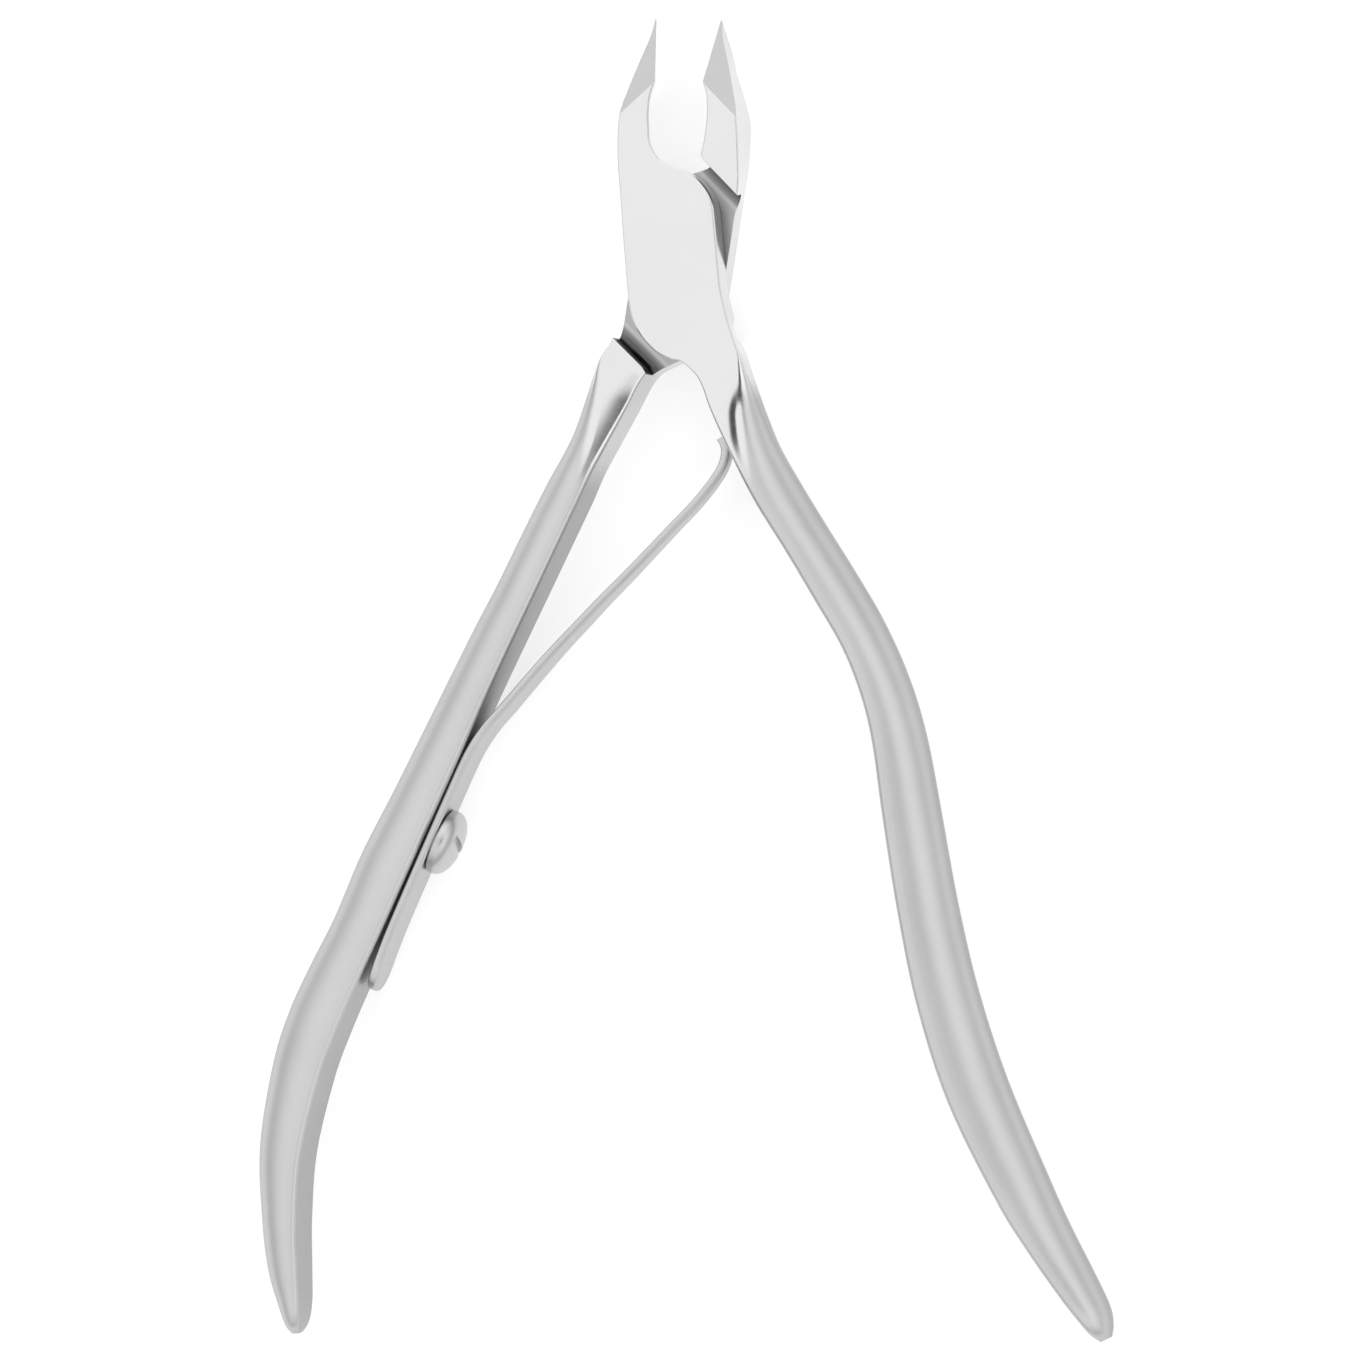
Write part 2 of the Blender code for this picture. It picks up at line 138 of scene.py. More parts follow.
# Each half is described in its own frame, with the jaw on the left and the grip on the right.
# A station is (left x, left y, right x, right y, bulge, tuck, roundness, thickness share).
# Bulge widens the left wall on the face away from the half's own plate. Tuck narrows the right
# wall on the face away from the cutting edge.
# Roundness runs from 0, a square section, to 1, a D with its flat side on the left.
JAW = [
    (-0.16, 20.50, -0.04, 20.50, 0.00, 1.40, 0, 1),
    (-0.42, 19.40, -0.04, 19.50, 0.00, 1.40, 0, 1),
    (-0.72, 18.60, -0.04, 18.70, 0.00, 1.40, 0, 1),
    (-1.20, 17.60, -0.04, 17.75, 0.00, 1.40, 0, 1),
    (-1.82, 16.35, -0.04, 16.60, 0.00, 1.40, 0, 1),
    (-2.38, 15.10, -0.04, 15.40, 0.00, 1.40, 0, 1),
    (-2.52, 14.75, -0.04, 15.02, 0.00, 1.40, 0, 1),
    (-2.95, 13.75, -0.48, 14.10, 0.00, 1.40, 0, 1),
    (-3.37, 12.50, -0.80, 12.60, 0.00, 1.40, 0, 1),
    (-3.60, 11.20, -0.90, 11.20, 0.10, 1.40, 0, 1),
    (-3.76, 9.70, -0.90, 9.95, 0.25, 1.40, 0, 1),
]
FRONT_PLATE = [
    (-3.83, 8.40, -0.42, 8.80, 0.45, 1.20, 0, 1),
    (-3.85, 7.40, 0.30, 8.15, 0.60, 0.60, 0, 1),
    (-3.86, 6.30, 1.60, 7.50, 0.65, 0.20, 0, 1),
    (-3.88, 5.60, 2.48, 6.90, 0.40, 0.00, 0, 1),
    (-3.88, 5.00, 3.10, 6.15, 0.10, 0.00, 0, 1),
    (-3.90, 4.20, 3.60, 5.25, 0.00, 0.00, 0, 1),
    (-3.92, 3.60, 3.83, 4.40, 0.00, 0.00, 0, 1),
    (-3.94, 2.60, 3.87, 3.40, 0.00, 0.00, 0, 1),
    (-3.96, 0.80, 3.88, 1.00, 0.00, 0.00, 0, 1),
    (-3.98, -1.60, 3.87, -1.80, 0.00, 0.00, 0, 1),
    (-3.98, -2.60, 3.93, -2.90, 0.00, 0.00, 0, 1),
    (-3.86, -3.90, 4.05, -3.90, 0.00, 0.00, 0, 1),
    (-3.60, -4.85, 4.18, -4.80, 0.00, 0.00, 0, 1),
    (-3.10, -5.90, 4.32, -5.60, 0.00, 0.50, 0, 1),
    (-2.55, -6.65, 4.45, -6.20, 0.00, 0.70, 0, 1),
    (-2.00, -7.25, 4.57, -6.75, 0.00, 0.65, 0, 1),
    (-1.40, -7.65, 4.68, -7.20, 0.00, 0.57, 0, 1),
    (-0.80, -7.97, 4.78, -7.60, 0.00, 0.50, 0, 1),
    (-0.24, -8.11, 4.88, -7.95, 0.00, 0.49, 0, 1),
    (0.15, -8.40, 4.98, -8.35, 0.00, 0.49, 0.02, 1),
    (0.62, -8.87, 5.10, -8.85, 0.00, 0.48, 0.06, 1),
    (1.22, -9.67, 5.28, -9.55, 0.00, 0.47, 0.14, 1),
    (1.60, -10.70, 5.50, -10.40, 0.00, 0.45, 0.24, 1),
]
FRONT_GRIP = [
    (1.90, -12.00, 5.75, -11.50, 0, 0.38, 0.38, 1),
    (2.53, -14.00, 6.20, -13.20, 0, 0.30, 0.58, 1),
    (3.68, -17.10, 7.10, -16.00, 0, 0.20, 0.82, 1),
    (5.13, -20.60, 8.55, -19.30, 0, 0, 0.97, 1),
    (7.27, -24.80, 10.45, -23.10, 0, 0, 1, 1),
    (9.24, -28.90, 12.55, -27.20, 0, 0, 1, 1),
    (11.20, -33.10, 14.50, -31.40, 0, 0, 1, 1),
    (12.40, -37.20, 16.10, -36.10, 0, 0, 1, 1),
    (12.98, -41.20, 17.10, -41.00, 0, 0, 1, 1),
    (13.26, -47.20, 17.70, -47.00, 0, 0, 1, 1),
    (13.78, -55.10, 18.40, -54.70, 0, 0, 1, 1),
    (14.70, -63.10, 19.45, -62.10, 0, 0, 1, 1),
    (16.55, -71.20, 21.20, -69.70, 0, 0, 1, 1),
    (19.70, -79.30, 23.75, -77.60, 0, 0, 1, 0.98),
    (21.75, -83.40, 25.20, -81.80, 0, 0, 1, 0.96),
    (24.10, -87.50, 27.00, -86.30, 0, 0, 1, 0.90),
    (25.40, -89.60, 27.95, -88.90, 0, 0, 1, 0.80),
    (26.30, -91.00, 28.10, -90.40, 0, 0, 1, 0.60),
    (27.00, -91.75, 27.90, -91.40, 0, 0, 1, 0.25),
]
BACK_PLATE = [
    (-3.83, 8.40, -0.70, 8.50, 0.45, 1.20, 0, 1),
    (-3.85, 7.40, 0.00, 7.80, 0.60, 0.60, 0, 1),
    (-3.86, 6.30, 1.30, 7.15, 0.65, 0.20, 0, 1),
    (-3.88, 5.60, 2.35, 6.60, 0.40, 0.00, 0, 1),
    (-3.88, 5.00, 3.00, 6.00, 0.10, 0.00, 0, 1),
    (-3.90, 4.20, 3.55, 5.20, 0.00, 0.00, 0, 1),
    (-3.92, 3.60, 3.83, 4.30, 0.00, 0.00, 0, 1),
    (-3.94, 2.60, 3.87, 3.20, 0.00, 0.00, 0, 1),
    (-3.96, 0.80, 3.88, 0.90, 0.00, 0.00, 0, 1),
    (-3.98, -1.60, 3.87, -1.80, 0.00, 0.00, 0, 1),
    (-3.98, -2.60, 3.86, -2.90, 0.00, 0.00, 0, 1),
    (-3.86, -3.90, 3.85, -4.20, 0.00, 0.00, 0, 1),
    (-3.60, -4.85, 3.83, -5.30, 0.00, 0.00, 0, 1),
    (-3.10, -5.90, 3.85, -6.10, 0.00, 0.00, 0, 1),
    (-2.55, -6.70, 3.92, -6.70, 0.00, 0.00, 0, 1),
    (-1.95, -7.40, 3.95, -7.15, 0.00, 0.00, 0, 1),
    (-1.30, -7.95, 4.14, -7.60, 0.00, 0.00, 0, 1),
    (-0.75, -8.30, 4.38, -8.05, 0.00, 0.00, 0, 1),
    (-0.10, -8.75, 4.56, -8.50, 0.00, 0.00, 0, 1),
    (0.40, -9.15, 4.73, -8.90, 0.00, 0.00, 0.02, 1),
    (0.75, -9.60, 4.88, -9.35, 0.00, 0.00, 0.08, 1),
    (1.05, -10.20, 5.03, -9.90, 0.00, 0.00, 0.16, 1),
    (1.35, -11.00, 5.18, -10.50, 0.00, 0.00, 0.26, 1),
]
BACK_GRIP = [
    (1.75, -12.30, 5.38, -11.40, 0, 0, 0.38, 1),
    (2.30, -13.90, 5.68, -12.80, 0, 0, 0.55, 1),
    (3.15, -16.30, 6.27, -15.30, 0, 0, 0.78, 1),
    (3.90, -18.50, 7.08, -17.60, 0, 0, 0.92, 1),
    (4.55, -20.90, 7.93, -19.80, 0, 0, 1, 1),
    (5.80, -25.20, 9.33, -24.20, 0, 0, 1, 1),
    (7.05, -29.50, 10.63, -28.50, 0, 0, 1, 1),
    (8.30, -33.75, 12.03, -32.70, 0, 0, 1, 1),
    (9.55, -38.10, 13.38, -37.00, 0, 0, 1, 1),
    (11.00, -43.50, 15.03, -42.30, 0, 0, 1, 1),
    (12.40, -48.70, 16.63, -47.40, 0, 0, 1, 1),
    (13.90, -54.30, 18.43, -52.90, 0, 0, 1, 1),
    (15.35, -59.80, 19.83, -58.60, 0, 0, 1, 1),
    (16.50, -64.00, 21.20, -62.90, 0, 0, 1, 1),
    (17.50, -68.00, 22.35, -67.00, 0, 0, 1, 1),
    (18.30, -72.20, 23.00, -71.60, 0, 0, 1, 1),
    (18.75, -78.60, 22.95, -78.70, 0, 0, 1, 0.98),
    (18.20, -84.30, 21.63, -85.00, 0, 0, 1, 0.96),
    (17.50, -88.00, 20.43, -88.90, 0, 0, 1, 0.90),
    (16.90, -91.00, 19.03, -91.70, 0, 0, 1, 0.80),
    (16.75, -92.70, 18.23, -93.10, 0, 0, 1, 0.60),
    (16.95, -93.55, 17.63, -93.70, 0, 0, 1, 0.25),
]
# The pocket that the other half's plate lies in, between the jaw's and the grip's shoulder.
POCKET = [
    (-6.00, 5.19),
    (-1.84, 8.24),
    (-1.30, 8.62),
    (-0.60, 9.40),
    (4.50, 9.40),
    (7.00, 6.00),
    (7.00, -4.80),
    (3.57, -7.19),
    (1.04, -8.96),
    (0.70, -9.41),
    (0.45, -10.20),
    (-1.00, -11.50),
    (-6.00, -9.00),
]

# Centre line of the leaf spring in the back half's frame, with its width at each point.
LEAF = [
    (15.55, -64.00, 1.4),
    (15.50, -63.72, 2.9),
    (15.41, -63.25, 4.0),
    (15.22, -62.30, 4.7),
    (14.90, -60.60, 4.8),
    (14.32, -58.00, 4.8),
    (12.90, -52.40, 4.8),
    (11.40, -46.60, 4.8),
    (10.42, -43.10, 4.8),
    (9.35, -40.70, 4.8),
    (8.00, -38.55, 4.6),
    (6.20, -35.60, 4.3),
    (4.65, -33.15, 4.0),
    (3.09, -30.86, 3.7),
    (1.53, -28.57, 3.4),
    (-0.11, -26.27, 3.1),
    (-1.68, -23.99, 2.8),
    (-3.23, -21.71, 2.6),
    (-4.80, -19.43, 2.4),
    (-5.90, -17.50, 2.2),
    (-6.48, -16.10, 2.0),
    (-6.62, -15.00, 1.9),
    (-6.42, -14.20, 1.8),
    (-5.98, -13.65, 1.7),
]


def named_collection(name, helper):
    made = bpy.data.collections.new(name)
    bpy.context.scene.collection.children.link(made)
    made.hide_render = helper
    return made


def mesh_object(name, points, faces, collection, material=None):
    """A mesh object from points in millimetres, not yet placed."""
    mesh = bpy.data.meshes.new(name)
    mesh.from_pydata([Vector(p) for p in points], [], faces)
    made = bmesh.new()
    made.from_mesh(mesh)
    bmesh.ops.recalc_face_normals(made, faces=made.faces)
    bmesh.ops.triangulate(made, faces=made.faces)
    made.to_mesh(mesh)
    made.free()
    if material:
        mesh.materials.append(material)
    obj = bpy.data.objects.new(name, mesh)
    collection.objects.link(obj)
    return obj


def spline(rows, steps):
    """Catmull-Rom rows between the given ones, which stay in the result."""
    found = []
    for i in range(len(rows) - 1):
        before = rows[max(i - 1, 0)]
        start = rows[i]
        end = rows[i + 1]
        after = rows[min(i + 2, len(rows) - 1)]
        for step in range(steps):
            t = step / steps
            row = []
            for a, b, c, d in zip(before, start, end, after):
                bend = 2 * b + (c - a) * t
                bend += (2 * a - 5 * b + 4 * c - d) * t * t
                bend += (3 * b - a - 3 * c + d) * t * t * t
                row.append(bend / 2)
            found.append(row)
    found.append(list(rows[-1]))
    return found


def edge_height(y):
    """Height above mid-plane of the cutting edge, which the facet lowers towards the tip."""
    return HALF_THICK - FACET_SLOPE * -FACET_LINE[0] * max(y - HEEL_Y, 0.0)


def blade_shift(y, z, side):
    """How far the blade's hollow side leans away from the cutting edge at this height."""
    return RELIEF * (side * z - edge_height(y))


def left_x(row, z, side):
    near_tip = min(max((row[1] - 16.5) / 3.0, 0.0), 1.0)
    bulge = row[4] * (HALF_THICK - z) / (2 * HALF_THICK)
    return row[0] - bulge + near_tip * blade_shift(row[1], z, side)


def right_x(row, z, side):
    if row[3] > HEEL_Y:
        return row[2] + blade_shift(row[3], z, side)
    return row[2] - row[5] * (HALF_THICK - side * z) / (2 * HALF_THICK)


def corner_arc(width, height):
    """(distance from the wall, height above the corner's foot) round one corner."""
    turns = [math.pi / 2 * i / ARC_STEPS for i in range(ARC_STEPS + 1)]
    return [(width * (1 - math.cos(a)), height * math.sin(a)) for a in turns]


def fade(value, start, full):
    """0 before start, 1 past full, smooth between. Start may be above full."""
    share = min(max((value - start) / (full - start), 0.0), 1.0)
    return share * share * (3 - 2 * share)


def polish_dip(x, y, side, ridge_x):
    """Depth that polishing took off the face where the grip leaves the head."""
    if side > 0:
        along = fade(y, -9.8, -12.6) * fade(y, -19.0, -14.8)
        middle = GROOVE_X + 0.55 * fade(y, -13.4, -10.6) + 0.35 * fade(y, -14.6, -17.5)
        return GROOVE_DEPTH * along * math.exp(-(((x - middle) / GROOVE_WIDE) ** 2))
    reach = 1.7 + (ROLL_REACH - 1.7) * fade(y, -9.0, -12.0)
    share = max(1.0 - max(x - ridge_x, 0.0) / reach, 0.0)
    along = fade(y, -8.4, -9.6) * fade(y, -21.0, -17.6)
    return ROLL_SLOPE * reach * share * share / 2 * along


def polished(point, row, side):
    x, y, z = point
    outer = fade(abs(z), 0.3 * HALF_THICK, 0.75 * HALF_THICK)
    dip = polish_dip(x, y, side, row[0]) * outer
    return (x, y, z - dip if z > 0 else z + dip)


def flat_points(row, side, left, wide, z):
    """Points across a face between its two rounded corners, from left to right."""
    across = Vector((row[2] - row[0], row[3] - row[1])).normalized()
    start = Vector((left_x(row, z, side) + across.x * left, row[1] + across.y * left))
    end = Vector((right_x(row, z, side) - across.x * wide, row[3] - across.y * wide))
    power = 1.0 if side > 0 else 1.5
    steps = [start.lerp(end, (i / FLAT_STEPS) ** power) for i in range(1, FLAT_STEPS)]
    return [(spot.x, spot.y, z) for spot in steps]


def ring(row, side):
    """One closed section of a half."""
    across = Vector((row[2] - row[0], row[3] - row[1]))
    width = across.length
    across.normalize()
    half = HALF_THICK * min(row[7], 1.0)
    round_share = min(max(row[6], 0.0), 1.0)
    left = min(CORNER + (GRIP_CORNER - CORNER) * round_share, 0.3 * width, 0.5 * half)
    tall = min(CORNER + (0.96 * half - CORNER) * round_share, 0.96 * half)
    wide = CORNER + (0.84 * width - CORNER) * round_share
    wide = min(wide, 0.9 * width - left)
    points = []
    for away, up in corner_arc(left, left):
        z = half - left + up
        points.append((left_x(row, z, side) + across.x * away, row[1] + across.y * away, z))
    points += flat_points(row, side, left, wide, half)
    for away, up in reversed(corner_arc(wide, tall)):
        z = half - tall + up
        points.append((right_x(row, z, side) - across.x * away, row[3] - across.y * away, z))
    for away, up in corner_arc(wide, tall):
        z = tall - half - up
        points.append((right_x(row, z, side) - across.x * away, row[3] - across.y * away, z))
    points += reversed(flat_points(row, side, left, wide, -half))
    for away, up in reversed(corner_arc(left, left)):
        z = left - half - up
        points.append((left_x(row, z, side) + across.x * away, row[1] + across.y * away, z))
    return [polished(point, row, side) for point in points]


def loft(name, rings, collection, material=None):
    """A closed mesh through rings of equal length, capped at both ends."""
    count = len(rings[0])
    points = [p for found in rings for p in found]
    faces = [list(range(count))]
    for i in range(len(rings) - 1):
        for j in range(count):
            k = (j + 1) % count
            a = i * count
            faces.append((a + j, a + k, a + count + k, a + count + j))
    last = (len(rings) - 1) * count
    faces.append(list(range(last + count - 1, last - 1, -1)))
    return mesh_object(name, points, faces, collection, material)


def prism(name, outline, low, high, collection, material=None):
    """An upright prism on an outline in X and Y."""
    count = len(outline)
    points = [(x, y, low) for x, y in outline] + [(x, y, high) for x, y in outline]
    faces = [list(range(count)), list(range(count, 2 * count))]
    for j in range(count):
        k = (j + 1) % count
        faces.append((j, k, count + k, count + j))
    return mesh_object(name, points, faces, collection, material)


def turned(name, profile, steps, collection, material=None):
    """A solid of revolution about Z. The profile is (radius, height), from axis to axis."""
    points = []
    for radius, height in profile:
        for i in range(steps):
            a = 2 * math.pi * i / steps
            points.append((radius * math.cos(a), radius * math.sin(a), height))
    faces = [list(range(steps))]
    for i in range(len(profile) - 1):
        for j in range(steps):
            k = (j + 1) % steps
            faces.append((i * steps + j, i * steps + k, (i + 1) * steps + k, (i + 1) * steps + j))
    last = (len(profile) - 1) * steps
    faces.append(list(range(last, last + steps)))
    return mesh_object(name, points, faces, collection, material)


def pocket_cutter(name, helpers, material):
    """The lap's pocket. Its top edges are rounded, which leaves a fillet at each shoulder's foot."""
    count = len(POCKET)
    low = [(x, y, -4.0) for x, y in POCKET]
    high = [(x, y, LAP_GAP) for x, y in POCKET]
    mesh = bpy.data.meshes.new(name)
    faces = [list(range(count)), list(range(count, 2 * count))]
    faces += [(j, (j + 1) % count, count + (j + 1) % count, count + j) for j in range(count)]
    mesh.from_pydata(low + high, [], faces)
    made = bmesh.new()
    made.from_mesh(mesh)
    bmesh.ops.recalc_face_normals(made, faces=made.faces)
    top = [e for e in made.edges if all(v.co.z > 0 for v in e.verts)]
    bmesh.ops.bevel(
        made, geom=top, offset=POCKET_FILLET, segments=6, profile=0.5, affect="EDGES", clamp_overlap=True
    )
    bmesh.ops.triangulate(made, faces=made.faces)
    made.to_mesh(mesh)
    made.free()
    mesh.materials.append(material)
    obj = bpy.data.objects.new(name, mesh)
    helpers.objects.link(obj)
    return obj


def facet_cutter(name, side, helpers, material):
    """The wedge that grinds a jaw's face down from the facet line to the tip."""
    along = Vector((*FACET_LINE, 0.0))
    down = Vector((FACET_LINE[1], -FACET_LINE[0], 0.0))
    heel = Vector((EDGE_X, HEEL_Y, 0.0))
    rise = FACET_SLOPE
    section = [(-1.0, HALF_THICK + rise), (8.0, HALF_THICK - 8.0 * rise), (8.0, 7.0), (-1.0, 7.0)]
    points = []
    for reach in (-9.0, 9.0):
        for away, z in section:
            spot = heel + along * reach + down * away
            points.append((spot.x, spot.y, side * z))
    faces = [(0, 1, 2, 3), (7, 6, 5, 4)]
    faces += [(j, (j + 1) % 4, (j + 1) % 4 + 4, j + 4) for j in range(4)]
    return mesh_object(name, points, faces, helpers, material)


def cut(obj, cutter):
    step = obj.modifiers.new(cutter.name, "BOOLEAN")
    step.operation = "DIFFERENCE"
    step.solver = "EXACT"
    step.material_mode = "TRANSFER"
    step.object = cutter


def settle(obj, pose, sharp_deg):
    """Applies the cuts, keeps own-frame positions, and turns millimetres into metres at rest."""
    weigh = obj.modifiers.new("flat faces stay flat", "WEIGHTED_NORMAL")
    weigh.keep_sharp = True
    weigh.weight = 80
    graph = bpy.context.evaluated_depsgraph_get()
    cuts = [m for m in obj.modifiers if m.type == "BOOLEAN"]
    weigh.show_viewport = False
    bpy.context.view_layer.update()
    mesh = bpy.data.meshes.new_from_object(obj.evaluated_get(graph))
    for step in cuts:
        obj.modifiers.remove(step)
    obj.data = mesh
    mesh.shade_smooth()
    mesh.set_sharp_from_angle(angle=math.radians(sharp_deg))
    own = mesh.attributes.new("own", "FLOAT_VECTOR", "POINT")
    for vertex in mesh.vertices:
        own.data[vertex.index].vector = vertex.co
    mesh.transform(pose @ Matrix.Scale(MM, 4))
    weigh.show_viewport = True
    return obj


def half_pose(front):
    lift = Matrix.Translation((0.0, 0.0, HALF_THICK * MM))
    if front:
        return lift @ Matrix.Rotation(math.radians(OPEN_DEG / 2), 4, "Z")
    turn = Matrix.Rotation(math.radians(-OPEN_DEG / 2), 4, "Z")
    return lift @ turn @ Matrix.Rotation(math.pi, 4, "Y")


def make_half(name, stations, side, helpers, finishes):
    rings = [ring(row, side) for row in spline(stations, STATION_STEPS)]
    half = loft(name, rings, bpy.context.scene.collection, finishes["body"])
    pocket = pocket_cutter(name + "_pocket", helpers, finishes["lap"])
    upper = facet_cutter(name + "_upper_facet", 1, helpers, finishes["ground"])
    lower = facet_cutter(name + "_lower_facet", -1, helpers, finishes["ground"])
    for tool in (upper, lower, pocket):
        cut(half, tool)
    return half


def make_leaf(material):
    """The leaf spring: a strip that lies on the back grip and crosses to the front one."""
    path = spline(LEAF, 8)
    soft = 0.13
    rings = []
    for i, (x, y, width) in enumerate(path):
        before = path[max(i - 1, 0)]
        after = path[min(i + 1, len(path) - 1)]
        along = Vector((after[0] - before[0], after[1] - before[1])).normalized()
        side = Vector((-along.y, along.x))
        half = width / 2
        flat = SPRING_THICK / 2
        found = []
        for sx, sz in ((-1, -1), (1, -1), (1, 1), (-1, 1)):
            for step in range(4):
                a = math.pi / 2 * step / 3
                if sx * sz < 0:
                    a = math.pi / 2 - a
                across = sx * (flat - soft + soft * math.cos(a))
                up = sz * (half - soft + soft * math.sin(a))
                found.append((x + side.x * across, y + side.y * across, up))
        rings.append(found)
    return loft("leaf_spring_look", rings, bpy.context.scene.collection, material)


def screw_matrix():
    """Frame on the spring's outer face with Z along the screw, away from the grip."""
    out = Vector((*GRIP_OUTWARD, 0.0)).normalized()
    up = Vector((0.0, 0.0, 1.0))
    across = up.cross(out)
    spot = Vector((*SCREW_SPOT, 0.0)) + out * (SPRING_THICK / 2)
    turn = Matrix((across, up, out)).transposed().to_4x4()
    return Matrix.Translation(spot) @ turn


def maths(tree, operation, a, b=None, clamp=False):
    node = tree.nodes.new("ShaderNodeMath")
    node.operation = operation
    node.use_clamp = clamp
    for slot, value in zip(node.inputs, (a, b)):
        if value is None:
            continue
        if isinstance(value, (int, float)):
            slot.default_value = value
        else:
            tree.links.new(value, slot)
    return node.outputs[0]


def ramp(tree, value, low, high, out_low=0.0, out_high=1.0):
    """A smooth step from one value range to another."""
    node = tree.nodes.new("ShaderNodeMapRange")
    node.interpolation_type = "SMOOTHSTEP"
    node.inputs["From Min"].default_value = low
    node.inputs["From Max"].default_value = high
    node.inputs["To Min"].default_value = out_low
    node.inputs["To Max"].default_value = out_high
    tree.links.new(value, node.inputs["Value"])
    return node.outputs["Result"]


def own_position(tree):
    """The piece's own-frame position in millimetres, as a vector and as its parts."""
    own = tree.nodes.new("ShaderNodeAttribute")
    own.attribute_name = "own"
    parts = tree.nodes.new("ShaderNodeSeparateXYZ")
    tree.links.new(own.outputs["Vector"], parts.inputs[0])
    return own.outputs["Vector"], parts.outputs


def stretched(tree, vector, turn_deg, scale):
    """A position turned about Z and stretched, for grain that runs one way."""
    node = tree.nodes.new("ShaderNodeMapping")
    node.inputs["Rotation"].default_value = (0.0, 0.0, math.radians(turn_deg))
    node.inputs["Scale"].default_value = scale
    tree.links.new(vector, node.inputs["Vector"])
    return node.outputs[0]


def noise(tree, vector, scale, detail=3.0, roughness=0.5):
    node = tree.nodes.new("ShaderNodeTexNoise")
    node.inputs["Scale"].default_value = scale
    node.inputs["Detail"].default_value = detail
    node.inputs["Roughness"].default_value = roughness
    tree.links.new(vector, node.inputs["Vector"])
    return node.outputs["Fac"]


def mix_value(tree, share, a, b):
    node = tree.nodes.new("ShaderNodeMix")
    node.data_type = "FLOAT"
    for slot, value in zip((node.inputs[0], node.inputs[2], node.inputs[3]), (share, a, b)):
        if isinstance(value, (int, float)):
            slot.default_value = value
        else:
            tree.links.new(value, slot)
    return node.outputs[0]


def grey(tree, value):
    node = tree.nodes.new("ShaderNodeCombineColor")
    for i in range(3):
        tree.links.new(value, node.inputs[i])
    return node.outputs[0]


def vary(tree, base, wave, amount):
    """A value that a noise moves up and down about its middle."""
    return maths(tree, "ADD", base, maths(tree, "MULTIPLY", maths(tree, "SUBTRACT", wave, 0.5), amount))


def rings_about_axis(tree, x, y, scale, detail):
    """Noise that depends only on the distance from the own frame's axis."""
    squares = maths(tree, "ADD", maths(tree, "MULTIPLY", x, x), maths(tree, "MULTIPLY", y, y))
    node = tree.nodes.new("ShaderNodeTexNoise")
    node.noise_dimensions = "1D"
    node.inputs["Scale"].default_value = scale
    node.inputs["Detail"].default_value = detail
    tree.links.new(maths(tree, "SQRT", squares), node.inputs["W"])
    return node.outputs["Fac"]


def metal(name):
    """A bare steel material and the tree and shader to finish it with."""
    made = bpy.data.materials.new(name)
    made.use_nodes = True
    tree = made.node_tree
    shader = tree.nodes["Principled BSDF"]
    shader.inputs["Metallic"].default_value = 1.0
    made.diffuse_color = (0.62, 0.62, 0.62, 1.0)
    return made, tree, shader


def soften_edges(tree, radius_mm):
    """Shading normal with small rounds on edges that the grinding left crisp."""
    node = tree.nodes.new("ShaderNodeBevel")
    node.samples = 4
    node.inputs["Radius"].default_value = radius_mm * MM
    return node.outputs[0]


def bump(tree, shader, height, distance_mm, strength, base):
    node = tree.nodes.new("ShaderNodeBump")
    node.inputs["Strength"].default_value = strength
    node.inputs["Distance"].default_value = distance_mm * MM
    tree.links.new(height, node.inputs["Height"])
    if base is not None:
        tree.links.new(base, node.inputs["Normal"])
    tree.links.new(node.outputs[0], shader.inputs["Normal"])


def upright(tree):
    """1 on walls that stand square to the face the tool lies on, 0 on faces that lie along it. The
    finishes darken walls with it as painted shade.
    """
    facing = tree.nodes.new("ShaderNodeNewGeometry")
    parts = tree.nodes.new("ShaderNodeSeparateXYZ")
    tree.links.new(facing.outputs["Normal"], parts.inputs[0])
    lying = maths(tree, "ABSOLUTE", parts.outputs[2], 0.0)
    return maths(tree, "SUBTRACT", 1.0, ramp(tree, lying, 0.10, 0.75))


def forged_finish():
    """Body of a half: polished head and jaws that turn into a satin blasted grip, with painted shade on
    its walls.
    """
    made, tree, shader = metal("forged_steel")
    vector, (x, y, _) = own_position(tree)
    down = maths(tree, "MULTIPLY", y, -1.0)
    flank = maths(tree, "MULTIPLY", ramp(tree, x, 4.5, 5.1), ramp(tree, down, 9.5, 12.5))
    satin = maths(tree, "MAXIMUM", ramp(tree, down, 15.5, 20.5), flank)
    grain = noise(tree, vector, 9.0, 4.0, 0.65)
    cloud = noise(tree, vector, 0.16, 2.0, 0.5)
    fine = noise(tree, vector, 3.2, 3.0, 0.6)
    tone = mix_value(tree, satin, HEAD_TONE, GRIP_TONE)
    # Painted shade: walls are darkened, a little near the head and more towards the grip.
    wall = mix_value(tree, ramp(tree, down, 7.0, 9.5), HEAD_WALL_SHADE, GRIP_WALL_SHADE)
    tone = maths(tree, "MULTIPLY", tone, mix_value(tree, upright(tree), 1.0, wall))
    tone = vary(tree, tone, cloud, 0.05)
    speck = maths(tree, "MULTIPLY", maths(tree, "SUBTRACT", grain, 0.5), 0.05)
    tone = maths(tree, "ADD", tone, maths(tree, "MULTIPLY", speck, satin))
    tree.links.new(grey(tree, tone), shader.inputs["Base Color"])
    rough = mix_value(tree, satin, HEAD_ROUGHNESS, GRIP_ROUGHNESS)
    rough = vary(tree, rough, fine, 0.08)
    tree.links.new(rough, shader.inputs["Roughness"])
    relief = maths(tree, "MULTIPLY", grain, satin)
    relief = maths(tree, "ADD", relief, maths(tree, "MULTIPLY", fine, 0.25))
    bump(tree, shader, relief, 0.006, 0.5, soften_edges(tree, 0.11))
    return made


